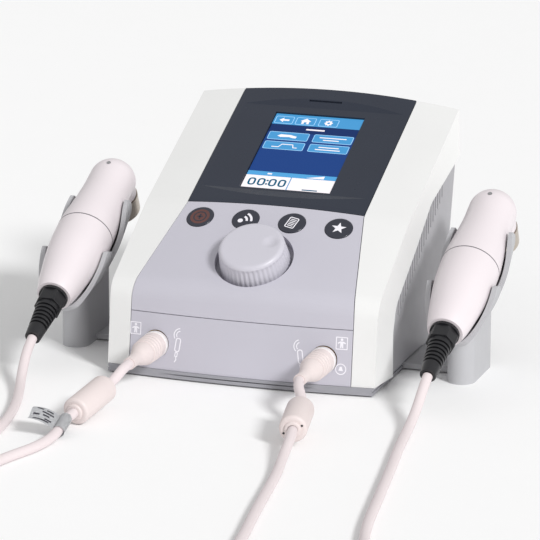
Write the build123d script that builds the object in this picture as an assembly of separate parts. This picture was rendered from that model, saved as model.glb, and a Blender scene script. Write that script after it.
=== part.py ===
from build123d import *
from math import atan, cos, degrees, pi, radians, sin, sqrt, tan
import os

# Desktop ultrasound therapy unit: a wedge-shaped console between two side holders, each with a
# treatment handpiece lying in it. Millimetres. X to the user's right, Y away from the user, Z up.
# The model is drawn with y = 0 at the foot of the console's front face, and every part is moved
# back by DEPTH_CENTRE on export, so that the origin is under the middle of the whole object.

# ---- console envelope -------------------------------------------------------------------------
DEPTH_CENTRE = 73.48
BASE_H = 5.0                      # top of the base tray
FRONT_LEAN = 7.5                  # degrees, front face leaning back
KEY_FOLD = (6.0, 51.8)            # y, z of the fold between the front face and the key slope
BEZEL_FOLD = (64.5, 86.3)         # fold between the key slope and the screen slope
REAR_TOP = (165.5, 130.8)
REAR_TILT = 14.0                  # degrees, rear face leaning in towards its foot
CROWN_R = 650.0                   # cross-crown of the front, key and screen slopes
KEY_FOLD_R = 16.0
BEZEL_FOLD_R = 60.0
WALL = 2.5
SEAM = 0.20                       # half of the visible gap between mating covers

# ---- white cover ------------------------------------------------------------------------------
COVER_HALF = 80.0                 # lower edge of the side band
CREASE_HALF = 77.0                # soft crease between the top face and the side band
BAND_DEPTH = 24.0
CASE_HALF = 77.2                  # recessed side wall
FLARE_FOOT = 64.0                 # half width of the front opening at the foot
BEZEL_HALF = 51.7

SPLIT_Z = 35.6                    # seam between the socket panel and the key panel

# ---- key slope and screen slope (s is measured up the slope from its lower fold) -----------------
BUTTON_NAMES = ("button_stop", "button_output", "button_list", "button_star")
BUTTON_X = (-40.4, -13.5, 13.5, 40.4)
BUTTON_S = 55.3
BUTTON_R = 7.7
BUTTON_TRAVEL = 0.8
DIAL_S = 26.2
DIAL_RECESS_R = 22.0
DIAL_R = 20.2
DIAL_TOP_R = 19.2
DIAL_H = 10.0
SCREEN_HALF = 26.6
SCREEN_S = (16.8, 88.2)
FLAT_HALF = 48.0                  # where the flat screen area runs out to nothing in the crown
FLAT_S = (15.0, 94.0)
FLAT_LIP = (7.0, 6.8)             # run of the sloping lip below and above the flat
STATUS_SLOT_S = 99.2
DIAL_WELL = 6.0                   # depth of the dial's well
DIAL_GROOVES = 44
DIAL_GROOVE_R = 1.0
DIAL_CUP_WALL = 1.2
DIAL_RIM = 2.6                    # smooth rim above the grooves
DIMPLE_AT, DIMPLE_ANGLE, DIMPLE_R = 12.5, 20.0, 9.0
SHAFT_R = 3.0
SHAFT_BUSH_R = 4.6
BUTTON_PROUD = 0.5
BUTTON_FOOT = 6.0
KEY_BOARD_N = 10.2                # board's top face below the crown line
KEY_BOARD_S = (4.0, 63.0)
BOARD_T = 1.6
PANEL_BOSSES = [(-45.0, 12.0), (45.0, 12.0), (-45.0, 38.0), (45.0, 38.0)]

# ---- base tray --------------------------------------------------------------------------------
BASE_HALF = 76.4
BASE_FOOT = 0.9
FEET_XY = [(-62, 16), (62, 16), (-62, 116), (62, 116)]
PLATE_Y = (60.0, 98.0)            # holder plate let into the base's side
PLATE_Z = (0.9, 3.9)
BOARD_POST_X, BOARD_POST_Y = 56.0, (34.0, 112.0)

# ---- boards and rear fittings -------------------------------------------------------------------
BOARD_Z = 8.6
# Parts on a board: x and y of the middle, then width, depth and height.
BOARD_CHIPS = [(-10, 100, 14, 14, 1.6), (14, 102, 10, 16, 1.4), (46, 60, 12, 8, 5.0),
               (-44, 58, 10, 10, 8.0), (-44, 100, 8, 8, 10.0), (38, 100, 16, 6, 9.0),
               (0, 34, 30, 5, 4.0)]
SUPPLY_PARTS = [(-38, 100, 18, 24, 20), (-14, 100, 22, 22, 17), (8, 92, 12, 12, 15),
                (8, 108, 10, 10, 18)]
SUPPLY_Y, SUPPLY_Z = (84.0, 116.0), 34.0
BOARD_TOP = BOARD_Z + BOARD_T
VENT_Y, VENT_PITCH, VENT_COUNT = 47.0, 4.4, 20
VENT_W, VENT_LENGTH, VENT_RISE = 1.6, 15.0, 0.56
INLET_W, INLET_H = 28.0, 20.0
SWITCH_W, SWITCH_H = 14.0, 21.0
SWITCH_PIVOT, SWITCH_THROW, SWITCH_PIN_R = -2.5, 14.5, 1.0
REAR_BAND_Z = 101.8               # lower edge of the cover's rear band
REAR_SCREWS = [(-66, 14), (66, 14), (-66, 92), (66, 92)]

# ---- sockets and plugs ---------------------------------------------------------------------------
SOCKET_X = 48.3
SOCKET_Z = 18.8
PLUG_R = 7.2
SOCKET_BORE_R = 5.2
PLUG_FACE_Y = 2.6
PLUG_LEN = 41.0
FERRITE_R = 7.5

# ---- handpieces and holders --------------------------------------------------------------------
HOLDER_X = 113.0
REST_ANGLE = 25.5                 # degrees, handpiece axis above the horizontal
NOSE = (15.4, 36.9)               # y, z of the nose of the handpiece on its axis
SEAM_AT = 53.4                    # joint between grip and head, along the axis from the nose
# Handpiece outline: radius, and distance along the axis from the nose.
GRIP_LINE = [(9.8, 0.0), (13.2, 16.0), (15.9, 36.0), (16.4, SEAM_AT)]
HEAD_LINE = [(16.4, SEAM_AT), (15.8, 64.0), (14.4, 79.0), (13.6, 92.0)]
HEAD_R = 13.6
HEAD_END = 115.5
SOUND_AT = 100.5                  # axis of the sound head
LIFT = 60.0
COLLAR_R, COLLAR_DEPTH = 13.0, 9.0
SOUND_R, SOUND_DEPTH = 13.6, 21.0
SCREW_AT = 102.6
NUT_R, NUT_LEN = 8.3, 10.0
RELIEF_R, RELIEF_END, RELIEF_RIBS = (6.6, 4.4), 35.5, 6
CRADLE_GAP, CRADLE_WALL, CRADLE_ROUND = 1.2, 2.8, 2.2
COLUMN_Y, COLUMN_W, COLUMN_HOLLOW = (41.5, 87.0), 15.6, 30.0

# ---- cords ----------------------------------------------------------------------------------------
# Each handpiece lead runs from its relief along the table, through a coil, and back through a
# ferrite to its plug. The points of a route are its corners, in the order in which the lead runs.
CORD_R = 2.75
ARC_SHARE = 0.45
COIL_H = 11.0
COIL_CENTRE = {"left": (-121.0, -197.0), "right": (131.0, -307.0)}
COIL_TURN_R = {"left": (24.6, 42.0), "right": (22.9, 40.0)}    # innermost and outermost turn
LABEL_LIFT = 0.4                  # slope of the label's flag, rising away from the lead
FERRITE_ENDS = {"left": ((-52.6, -62.0, 12.3), (-57.2, -97.6, 7.6)),
                "right": ((58.0, -65.0, 12.4), (64.4, -98.6, 10.6))}
LABEL_START, LABEL_W, LABEL_FLAG, LABEL_T, LABEL_GAP = -2.0, 16.0, 14.0, 0.5, 0.45
CORD_ROUTES = {
    "cord_hand_left": [(-113, -16.9, 21.45), (-112.8, -25.4, 17.0), (-111.4, -34.6, 10.4),
                       (-108.9, -44.6, 5.6), (-105.0, -56.4, 3.4), (-100.6, -70.0, 2.8),
                       (-96.2, -86.0, 2.75), (-92.6, -103.0, 2.75), (-90.4, -118.5, 2.75),
                       (-90.2, -133.0, 2.75), (-98.0, -147.0, 2.75), (-112.0, -155.0, 2.75),
                       (-127.5, -155.5, 2.75)],
    "cord_lead_left": [(-86.6, -221.1, 8.3), (-78.0, -209.6, 7.8), (-72.4, -196.0, 4.8),
                       (-70.8, -180.0, 3.0), (-66.4, -163.2, 2.75), (-60.4, -147.4, 2.8),
                       (-57.4, -131.6, 3.0), (-57.2, -118.0, 4.6), (-58.4, -107.0, 6.4),
                       (-57.2, -97.6, 7.6)],
    "cord_plug_left": [(-52.6, -62.0, 12.3), (-51.7, -57.2, 13.2), (-50.3, -52.7, 15.2),
                       (-49.0, -48.3, 17.6), (-48.35, -43.4, 18.8), (-48.3, -38.4, 18.8)],
    "cord_hand_right": [(113, -16.9, 21.45), (113, -25.4, 17.0), (113.1, -35.6, 10.2),
                        (113.4, -47.6, 5.2), (114.6, -61.6, 3.1), (116.8, -78.0, 2.8),
                        (120.0, -97.0, 2.75), (124.6, -122.4, 2.75), (128.9, -148.4, 2.75),
                        (133.1, -173.0, 2.75), (137.6, -201.0, 2.75), (143.0, -226.0, 2.75),
                        (150.0, -250.0, 2.75), (158.4, -270.5, 2.75), (166.6, -288.0, 2.75),
                        (170.6, -303.0, 2.75), (170.0, -317.0, 2.75)],
    "cord_lead_right": [(91.6, -314.0, 8.3), (89.8, -300.0, 8.2), (90.0, -285.4, 5.4),
                        (90.6, -268.0, 3.0), (87.6, -244.0, 2.75), (83.2, -219.0, 2.75),
                        (79.2, -194.6, 2.75),
                        (75.6, -169.6, 2.75), (72.0, -146.6, 2.8), (68.4, -126.4, 4.8),
                        (66.7, -110.8, 8.6), (64.4, -98.6, 10.6)],
    "cord_plug_right": [(58.0, -65.0, 12.4), (56.9, -59.6, 12.9), (54.9, -54.5, 14.4),
                        (52.2, -49.7, 16.5), (49.7, -44.6, 18.1), (48.3, -38.4, 18.8)],
}


def point(yz, x=0.0):
    return Vector(x, yz[0], yz[1])


def direction(a, b):
    return (point(b) - point(a)).normalized()


def outward(d):
    return Vector(0, -d.Z, d.Y)


FRONT_FOOT = (KEY_FOLD[0] - (KEY_FOLD[1] - BASE_H) * tan(radians(FRONT_LEAN)), BASE_H)
SLOPES = [(FRONT_FOOT, KEY_FOLD), (KEY_FOLD, BEZEL_FOLD), (BEZEL_FOLD, REAR_TOP)]
UP_REAR = Vector(0, sin(radians(REAR_TILT)), cos(radians(REAR_TILT)))


def slope_plane(index):
    """Plane on the crown line of a slope: x across, y up the slope, z out of the surface."""
    a, b = SLOPES[index]
    return Plane(origin=point(a), x_dir=(1, 0, 0), z_dir=outward(direction(a, b)))


KEYS = slope_plane(1)
SCREEN = slope_plane(2)


def sag(x):
    """How far the crowned surface lies below its crown line at a distance x from the middle."""
    return CROWN_R - sqrt(CROWN_R ** 2 - x ** 2)


def block(x0, x1, y0, y1, z0, z1):
    return Pos((x0 + x1) / 2, (y0 + y1) / 2, (z0 + z1) / 2) * Box(x1 - x0, y1 - y0, z1 - z0)


def fold_edges(solid, yz, reach):
    """Edges that cross the solid from side to side near a fold."""
    near = []
    for edge in solid.edges():
        middle = edge.position_at(0.5)
        across = abs(edge.position_at(1).X - edge.position_at(0).X)
        if abs(middle.Y - yz[0]) < reach and abs(middle.Z - yz[1]) < reach and across > 60:
            near.append(edge)
    return near


def envelope(inset, half, rear_inset=0.0, foot=BASE_H):
    """Crowned wedge, drawn in by inset from the front, key and screen slopes."""
    body = block(-half, half, -20, 200, foot, 160)
    for a, b in SLOPES:
        plane = Plane(origin=point(a), x_dir=(1, 0, 0), z_dir=direction(a, b))
        centre = point(a) - outward(direction(a, b)) * CROWN_R
        axis = Plane(origin=centre, x_dir=(1, 0, 0), z_dir=plane.z_dir)
        body = body & (axis * Cylinder(CROWN_R - inset, 800))
    rear = Plane(origin=point(REAR_TOP) - Vector(0, rear_inset, 0), x_dir=(1, 0, 0),
                 z_dir=Vector(0, UP_REAR.Z, -UP_REAR.Y))
    body = split(body, bisect_by=rear, keep=Keep.BOTTOM)
    for yz, radius in ((KEY_FOLD, KEY_FOLD_R), (BEZEL_FOLD, BEZEL_FOLD_R)):
        edges = fold_edges(body, yz, 9)
        if edges:
            body = fillet(edges, radius - inset)
    return body


def opening_prism(gap):
    """Vertical prism over the front opening: flared key area, parallel screen area."""
    foot, bezel = FLARE_FOOT + gap, BEZEL_HALF + gap
    outline = [(-foot, -20), (foot, -20), (foot, 8), (bezel, BEZEL_FOLD[0]), (bezel, 200),
               (-bezel, 200), (-bezel, BEZEL_FOLD[0]), (-foot, 8)]
    return extrude(make_face(Polyline(*outline, close=True)), 200)


def surface_plane(index, x, s, depth=0.0):
    """Plane on the crowned surface at x across and s up a slope, tilted with the crown."""
    a, b = SLOPES[index]
    run, out = direction(a, b), outward(direction(a, b))
    tilt = x / CROWN_R
    normal = Vector(1, 0, 0) * tilt + out * sqrt(1 - tilt ** 2)
    foot = point(a, x) + run * s - out * sag(x)
    across = Vector(1, 0, 0) * sqrt(1 - tilt ** 2) - out * tilt
    return Plane(origin=foot - normal * depth, x_dir=across, z_dir=normal)


def disc(plane, radius, low, high, x=0.0, y=0.0):
    return plane * (Pos(x, y, (low + high) / 2) * Cylinder(radius, high - low))


# ---- covers ---------------------------------------------------------------------------------------

def band_planes():
    """Planes of the side bands on the +X side, one to each slope, widening away from the crease."""
    planes = []
    for a, b in SLOPES:
        run, out = direction(a, b), outward(direction(a, b))
        crease = point(a, CREASE_HALF) - out * sag(CREASE_HALF)
        inward = (Vector(COVER_HALF - CREASE_HALF, 0, 0) - out * BAND_DEPTH).normalized()
        planes.append(Plane(origin=crease, x_dir=run, z_dir=inward.cross(run) * -1))
    return planes


def band_profile(gap=0.0):
    """Side region of the recessed wall, up to the lower edge of the band."""
    edge = Polyline((28.6 + gap, -10), (29.5 + gap, 39 - gap), (105, 84.5 - gap), (190, 109 - gap))
    edge = fillet(edge.vertices().sort_by(Axis.X)[1:3], 24)
    close = Polyline((190, 109 - gap), (190, -10), (28.6 + gap, -10))
    return Plane.YZ * make_face(Wire(edge.edges() + close.edges()))


def cover_blank():
    blank = envelope(0, COVER_HALF)
    for plane in band_planes():
        keep = Keep.TOP if plane.z_dir.X < 0 else Keep.BOTTOM
        blank = split(blank, bisect_by=plane, keep=keep)
        other = Plane(origin=Vector(-plane.origin.X, plane.origin.Y, plane.origin.Z),
                      x_dir=plane.x_dir, z_dir=Vector(-plane.z_dir.X, plane.z_dir.Y, plane.z_dir.Z))
        blank = split(blank, bisect_by=other, keep=keep)
    return blank


def skin():
    """The crowned skin of the three slopes."""
    return envelope(0, 70) - envelope(WALL, 71, rear_inset=-5, foot=0)


def make_top_cover():
    cover = cover_blank()
    cover -= extrude(band_profile(), 90, both=True) - block(-CASE_HALF - SEAM, CASE_HALF + SEAM,
                                                            -50, 250, -50, 250)
    cover -= opening_prism(SEAM) & (block(-90, 90, -30, 200, 0, 200) - envelope(WALL + SEAM, 90))
    cover -= envelope(WALL, 74.5, rear_inset=WALL, foot=0)
    wall = envelope(6 - SEAM, CASE_HALF + SEAM, rear_inset=-5, foot=0) & block(-90, 90, 21.8, 250, 0, 200)
    wall -= block(-74.5, 74.5, -50, 250, REAR_BAND_Z, 250)
    cover -= wall
    return cover


def make_lower_case():
    """Grey side walls and rear wall, with vents in the sides and the fittings' cut-outs at the rear."""
    case = envelope(6, CASE_HALF) & block(-90, 90, 22, 250, 0, 200)
    case -= envelope(0, CASE_HALF - WALL, rear_inset=WALL, foot=0)
    rim = envelope(0, 90, rear_inset=WALL + 2 * SEAM, foot=0)
    case -= block(-90, 90, 140, 250, REAR_BAND_Z - SEAM, 250) - rim
    for i in range(VENT_COUNT):
        y = VENT_Y + VENT_PITCH * i
        low = 34.5 + VENT_RISE * VENT_PITCH * i
        side = Plane(origin=(0, y, low + VENT_LENGTH / 2), x_dir=(0, 0, 1), z_dir=(1, 0, 0))
        case -= extrude(side * SlotOverall(VENT_LENGTH, VENT_W), 200, both=True)
    for cut in rear_holes():
        case -= cut
    return case


def below_bezel_fold(gap):
    """Half space on the user's side of the bezel's lower edge."""
    a, b = SLOPES[2]
    origin = point(a) - direction(a, b) * gap
    return Plane(origin=origin, x_dir=(1, 0, 0), z_dir=direction(a, b))


def make_socket_panel():
    panel = skin() & opening_prism(-SEAM) & block(-90, 90, -20, 60, 0, SPLIT_Z - SEAM)
    for side in (-1, 1):
        hole = Pos(side * SOCKET_X, 0, SOCKET_Z) * Rot(90, 0, 0) * Cylinder(PLUG_R + 0.4, 40)
        panel -= hole
    return panel


def dial_cup():
    """Round well for the dial, hanging from the key panel, with a bush for the shaft."""
    plane = KEYS
    cup = disc(plane, DIAL_RECESS_R + DIAL_CUP_WALL, -DIAL_WELL - 1.6, -1.0, y=DIAL_S)
    cup -= disc(plane, DIAL_RECESS_R, -DIAL_WELL, 10, y=DIAL_S)
    cup -= disc(plane, SHAFT_BUSH_R, -20, 10, y=DIAL_S)
    return cup


def make_key_panel():
    panel = skin() & opening_prism(-SEAM) & block(-90, 90, -20, 120, SPLIT_Z + SEAM, 150)
    panel = split(panel, bisect_by=below_bezel_fold(SEAM), keep=Keep.BOTTOM)
    panel -= disc(KEYS, DIAL_RECESS_R, -10, 10, y=DIAL_S)
    panel += dial_cup()
    panel -= KEYS * (Pos(0, DIAL_S, 0) * Cone(DIAL_RECESS_R - 1.0, DIAL_RECESS_R + 1.0, 2.4))
    for x, s in PANEL_BOSSES:
        panel += disc(KEYS, 2.5, -KEY_BOARD_N, -3, x=x, y=s)
    for x in BUTTON_X:
        panel -= disc(surface_plane(1, x, BUTTON_S), BUTTON_R + 0.25, -12, 6)
    return panel


FLAT_N = -sag(FLAT_HALF)          # the flat's height on the screen slope


def flat_cutter():
    """Flat seat of the screen with a sloping lip below and above it, cut into the crown."""
    low, high = FLAT_S
    drop, rise = FLAT_LIP
    depth = -FLAT_N
    outline = Polyline((low, FLAT_N), (high, FLAT_N), (high + rise, 0), (high + rise * 3, 2 * depth),
                       (low - drop * 3, 2 * depth), (low - drop, 0), close=True)
    profile = Plane(origin=SCREEN.origin, x_dir=SCREEN.y_dir, z_dir=SCREEN.x_dir) * make_face(outline)
    return extrude(profile, 60, both=True)


def make_bezel():
    bezel = skin() & opening_prism(-SEAM)
    bezel = split(bezel, bisect_by=below_bezel_fold(-SEAM), keep=Keep.TOP)
    low, high = FLAT_S
    seat = SCREEN * (Pos(0, (low + high) / 2, FLAT_N - 1.2) * Box(2 * FLAT_HALF, high - low + 14, 2.4))
    bezel = (bezel + (seat & envelope(0, 70))) - flat_cutter()
    window = SCREEN * (Pos(0, sum(SCREEN_S) / 2, 0) * Box(2 * SCREEN_HALF, SCREEN_S[1] - SCREEN_S[0], 20))
    slot = SCREEN * (Pos(0, STATUS_SLOT_S, 0) * Box(19.5, 1.3, 2.4))
    return bezel - window - slot


def make_touch_glass():
    middle = sum(SCREEN_S) / 2
    top = FLAT_N - 2.4 - 0.1
    glass = Pos(0, middle, top - 0.55) * Box(2 * SCREEN_HALF + 5, SCREEN_S[1] - SCREEN_S[0] + 6, 1.1)
    raised = Pos(0, middle, top + 0.7) * Box(2 * SCREEN_HALF - 0.5, SCREEN_S[1] - SCREEN_S[0] - 0.5, 1.6)
    return SCREEN * (glass + raised)


def make_lcd_module():
    middle = sum(SCREEN_S) / 2
    top = FLAT_N - 2.4 - 0.1 - 1.1 - 0.1
    return SCREEN * (Pos(0, middle, top - 1.8) * Box(2 * SCREEN_HALF + 3, SCREEN_S[1] - SCREEN_S[0] + 7, 3.6))


# ---- keys and dial ----------------------------------------------------------------------------------

def make_button(x):
    plane = surface_plane(1, x, BUTTON_S)
    cap = plane * (Pos(0, 0, (BUTTON_PROUD - BUTTON_FOOT) / 2)
                   * Cylinder(BUTTON_R, BUTTON_PROUD + BUTTON_FOOT))
    cap = fillet(cap.edges().group_by(Axis(plane.origin, plane.z_dir))[-1], 0.5)
    flange = disc(plane, BUTTON_R + 0.9, -BUTTON_FOOT, -BUTTON_FOOT + 1.0)
    return cap + flange


def dial_outline():
    """Round outline with evenly spaced finger grooves."""
    face = make_face(CenterArc((0, 0), DIAL_R, 0, 360))
    grooves = []
    for i in range(DIAL_GROOVES):
        turn = 2 * pi * i / DIAL_GROOVES
        grooves.append(Pos(DIAL_R * 1.016 * cos(turn), DIAL_R * 1.016 * sin(turn)) * Circle(DIAL_GROOVE_R))
    return face - grooves


def make_dial():
    base = -DIAL_WELL + 0.8
    height = DIAL_H - base
    taper = degrees(atan((DIAL_R - DIAL_TOP_R) / height))
    skirt = extrude(dial_outline(), height - DIAL_RIM, taper=taper)
    top_r = DIAL_TOP_R + 0.35
    rim = extrude(Circle(top_r), DIAL_RIM + 1.0, taper=taper)
    rim = fillet(rim.edges().group_by(Axis.Z)[-1], 1.4)
    cap = skirt + Pos(0, 0, height - DIAL_RIM - 1.0) * rim
    cap -= Pos(0, 0, (height - 2.4) / 2 - 0.01) * Cylinder(DIAL_TOP_R - 2.6, height - 2.4)
    cap += Pos(0, 0, height / 2) * Cylinder(5.5, height - 1.2)
    cap -= Pos(0, 0, (height - 4) / 2) * Cylinder(SHAFT_R, height - 4)
    angle = radians(DIMPLE_ANGLE)
    cap -= Pos(DIMPLE_AT * cos(angle), DIMPLE_AT * sin(angle), height + DIMPLE_R - 1.2) * Sphere(DIMPLE_R)
    return KEYS * (Pos(0, DIAL_S, base) * cap)


def make_encoder_shaft():
    return disc(KEYS, SHAFT_R, -16.0, DIAL_H - 4.2, y=DIAL_S)


def make_encoder():
    top = -KEY_BOARD_N - BOARD_T
    body = KEYS * (Pos(0, DIAL_S, top - 3) * Box(12, 12, 6))
    bush = disc(KEYS, SHAFT_BUSH_R - 0.1, top - 0.2, -DIAL_WELL - 0.2, y=DIAL_S)
    return body + bush - disc(KEYS, SHAFT_R + 0.05, -17.0, 10, y=DIAL_S)


def make_key_board():
    low, high = KEY_BOARD_S
    board = KEYS * (Pos(0, (low + high) / 2, -KEY_BOARD_N - BOARD_T / 2) * Box(100, high - low, BOARD_T))
    board -= disc(KEYS, SHAFT_BUSH_R, -20, 0, y=DIAL_S)
    for x in BUTTON_X:
        plane = surface_plane(1, x, BUTTON_S)
        board += disc(plane, 3.2, -KEY_BOARD_N - 0.4, -BUTTON_FOOT - BUTTON_TRAVEL - 0.3)
    return board


# ---- base, boards and rear fittings ------------------------------------------------------------------

def make_base_tray():
    tray = envelope(-0.8, BASE_HALF, rear_inset=1.0, foot=BASE_FOOT)
    tray &= block(-90, 90, -20, 200, 0, BASE_H - 0.1)
    ring = tray - block(-BASE_HALF + 0.6, BASE_HALF - 0.6, 0.4, 250, -5, 10)
    tray -= ring & block(-90, 90, -20, 200, 2.7, 3.3)
    tray -= block(-BASE_HALF + 4, BASE_HALF - 4, 6, 126, BASE_FOOT + 1.8, 10)
    for x in (-BOARD_POST_X, BOARD_POST_X):
        for y in BOARD_POST_Y:
            tray += Pos(x, y, 5.5) * Cylinder(3, 6)
    for x, y in FEET_XY:
        tray += Pos(x, y, 2.2) * Cylinder(9, 2.6)
        tray -= Pos(x, y, BASE_FOOT) * Cylinder(7.1, 1.6)
    for side in (-1, 1):
        near, far = sorted((side * (BASE_HALF - 9.2), side * (BASE_HALF + 5)))
        tray -= block(near, far, PLATE_Y[0] - 0.2, PLATE_Y[1] + 0.2, 0, PLATE_Z[1] + 0.1)
        inner, outer = sorted((side * (BASE_HALF - 10), side * BASE_HALF))
        tray += block(inner, outer, PLATE_Y[0] - 2, PLATE_Y[1] + 2, PLATE_Z[1] + 0.1, BASE_H - 0.1)
    return tray


def make_feet():
    return Compound([Solid.make_cylinder(7.0, BASE_FOOT + 0.7, Plane(origin=(x, y, 0))) for x, y in FEET_XY])


def make_main_board():
    x, (y0, y1) = BOARD_POST_X, BOARD_POST_Y
    board = block(-x - 6, x + 6, y0 - 6, y1 + 6, BOARD_Z, BOARD_TOP)
    for at_x, at_y, w, d, h in BOARD_CHIPS:
        board += block(at_x - w / 2, at_x + w / 2, at_y - d / 2, at_y + d / 2, BOARD_TOP - 0.1, BOARD_TOP + h)
    return board


def make_output_boards():
    """The two ultrasound output stages, one behind each socket, under shield cans."""
    boards = []
    for side in (-1, 1):
        x = side * 34.0
        card = block(x - 0.8, x + 0.8, 34, 84, BOARD_Z + 1.7, BOARD_Z + 31)
        near, far = sorted((x - 0.7 * side, x - 7 * side))
        can = block(near, far, 42, 74, BOARD_Z + 6, BOARD_Z + 27)
        boards.append(card + can)
    return Compound(boards)


def make_heat_sink():
    base = block(-16, 16, 44, 78, BOARD_Z + 1.7, BOARD_Z + 5)
    for i in range(6):
        x = -15 + i * 6
        base += block(x - 0.8, x + 0.8, 44, 78, BOARD_Z + 4.9, BOARD_Z + 22)
    return base


def post(x, y, radius, low, high):
    return Pos(x, y, (low + high) / 2) * Cylinder(radius, high - low)


def make_power_supply():
    """Mains supply on four posts above the main board."""
    y0, y1 = SUPPLY_Y
    top = SUPPLY_Z + 1.5
    supply = block(-50, 22, y0, y1, SUPPLY_Z, top)
    for at_x, at_y, w, d, h in SUPPLY_PARTS:
        supply += block(at_x - w / 2, at_x + w / 2, at_y - d / 2, at_y + d / 2, top - 0.1, top + h)
    for x in (-46, 18):
        for y in (y0 + 3, y1 - 3):
            supply += post(x, y, 2.4, BOARD_TOP, SUPPLY_Z + 0.1)
    return supply


def make_speaker():
    """Sounder for the treatment timer, on three posts."""
    x, y, low = 48, 104, 25.5
    speaker = post(x, y, 14, low, low + 5) + post(x, y, 9, low + 4.9, low + 11)
    speaker -= Pos(x, y, low + 1.5) * Cone(12, 9, 3.01)
    for dx, dy in ((-8, 9.5), (8, 9.5), (0, -12.4)):
        speaker += post(x + dx, y + dy, 1.5, BOARD_TOP, low + 1)
    return speaker


REAR_POINT = point(REAR_TOP)
REAR_OUT = Vector(0, UP_REAR.Z, -UP_REAR.Y)


def rear_plane(x, z):
    """Plane on the rear face, x running to the left as seen from the front."""
    y = REAR_TOP[0] - (REAR_TOP[1] - z) * tan(radians(REAR_TILT))
    return Plane(origin=(x, y, z), x_dir=(-1, 0, 0), z_dir=REAR_OUT)


INLET = rear_plane(-44, 34)
SWITCH = rear_plane(-16, 34)
STUD = rear_plane(8, 34)


def rear_holes():
    """Cut-outs of the rear wall: mains inlet, power switch, equipotential stud, cover screws."""
    cuts = [INLET * Box(INLET_W, INLET_H, 12), SWITCH * Box(SWITCH_W, SWITCH_H, 12),
            STUD * Cylinder(3.1, 12)]
    for x, z in REAR_SCREWS:
        cuts.append(rear_plane(x, z) * Cylinder(1.7, 12))
    return cuts


def make_mains_inlet():
    shroud = INLET * (Pos(0, 0, -8.2) * Box(INLET_W - 0.4, INLET_H - 0.4, 20))
    flange = INLET * (Pos(0, 0, 1.0) * Box(INLET_W + 4, INLET_H + 4, 2))
    flange = fillet(flange.edges().filter_by(Axis((0, 0, 0), REAR_OUT)), 3)
    mouth = INLET * (Pos(0, 0, -5.0) * Box(24.2, 16.6, 15))
    mouth = chamfer(mouth.edges().filter_by(Axis((0, 0, 0), REAR_OUT)).group_by(Axis.Z)[0], 4)
    inlet = shroud + flange - mouth
    for x, y in ((-7, -1.5), (7, -1.5), (0, 2.5)):
        inlet += INLET * (Pos(x, y, -6.5) * Box(2, 4, 12.5))
    return inlet


def rocker_plane():
    """Plane across the rocker's pin: x up the wall, y out of it, z along the pin."""
    return Plane(origin=SWITCH.origin + REAR_OUT * SWITCH_PIVOT, x_dir=SWITCH.y_dir, z_dir=SWITCH.x_dir)


def make_switch_frame():
    frame = SWITCH * (Pos(0, 0, -5) * Box(SWITCH_W - 0.4, SWITCH_H - 0.4, 12)
                      + Pos(0, 0, 0.8) * Box(SWITCH_W + 3, SWITCH_H + 3, 1.6))
    pocket = SWITCH * (Pos(0, 0, -3) * Box(SWITCH_W - 3, SWITCH_H - 3, 12))
    pin = rocker_plane() * Cylinder(SWITCH_PIN_R + 0.05, SWITCH_W)
    return frame - pocket - pin


def make_switch_rocker():
    """Rocker seen from its side as a wide V, resting on its lower half and turning on a pin."""
    side = Polyline((-7.6, 4.8), (0, 2.3), (7.6, 4.8), (7.0, -1.0), (0, -2.9), (-7.0, -1.0), close=True)
    face = Rot(0, 0, SWITCH_THROW / 2) * make_face(side)
    rocker = extrude(rocker_plane() * face, (SWITCH_W - 3.6) / 2, both=True)
    return rocker + rocker_plane() * Cylinder(SWITCH_PIN_R, SWITCH_W - 1.2)


def make_earth_stud():
    nut = STUD * extrude(RegularPolygon(5.0, 6), 3)
    return nut + STUD * (Pos(0, 0, -0.5) * Cylinder(3.0, 18))


def make_type_plate():
    plate = rear_plane(46, 38) * (Pos(0, 0, 0.2) * Box(44, 26, 0.4))
    return fillet(plate.edges().filter_by(Axis((0, 0, 0), REAR_OUT)), 1.5)


def make_cover_screws():
    """Cover screws of the rear wall and of the base, pan heads with a cross slot."""
    screws = []
    for x, z in REAR_SCREWS:
        head = Cylinder(2.9, 1.4)
        head = fillet(head.edges().group_by(Axis.Z)[-1], 0.6)
        screw = Pos(0, 0, 0.7) * head + Pos(0, 0, -4) * Cylinder(1.5, 8.2)
        for turn in (0, 90):
            screw -= Pos(0, 0, 1.2) * Rot(0, 0, turn) * Box(3.2, 0.7, 1.2)
        screws.append(rear_plane(x, z) * screw)
    return Compound(screws)


def make_socket(side):
    """Round output socket behind the socket panel."""
    axis = Plane(origin=(side * SOCKET_X, 0, SOCKET_Z), x_dir=(1, 0, 0), z_dir=(0, 1, 0))
    shell = axis * (Pos(0, 0, 13.4) * Cylinder(8.6, 10)) + axis * (Pos(0, 0, 21.5) * Cylinder(7, 7))
    shell -= axis * (Pos(0, 0, 14.5) * Cylinder(SOCKET_BORE_R, 16.01))
    return shell


def make_plug(side):
    """Moulded plug on its metal shell, tapering to the cord."""
    axis = Plane(origin=(side * SOCKET_X, PLUG_FACE_Y, SOCKET_Z), x_dir=(1, 0, 0), z_dir=(0, -1, 0))
    outline = Polyline((0, -14), (SOCKET_BORE_R - 0.1, -14), (SOCKET_BORE_R - 0.1, -1.2), (PLUG_R, -1.2),
                       (PLUG_R, 2.0), (6.9, 14), (6.3, 21), (5.4, 24.5), (3.9, 29), (3.4, 34),
                       (3.4, PLUG_LEN), (0, PLUG_LEN), close=True)
    face = make_face(outline)
    face = fillet(face.vertices().filter_by(lambda v: 20 < v.Y < 30), 2.0)
    body = revolve(Plane.XZ * face, Axis.Z)
    return axis * body


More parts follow.
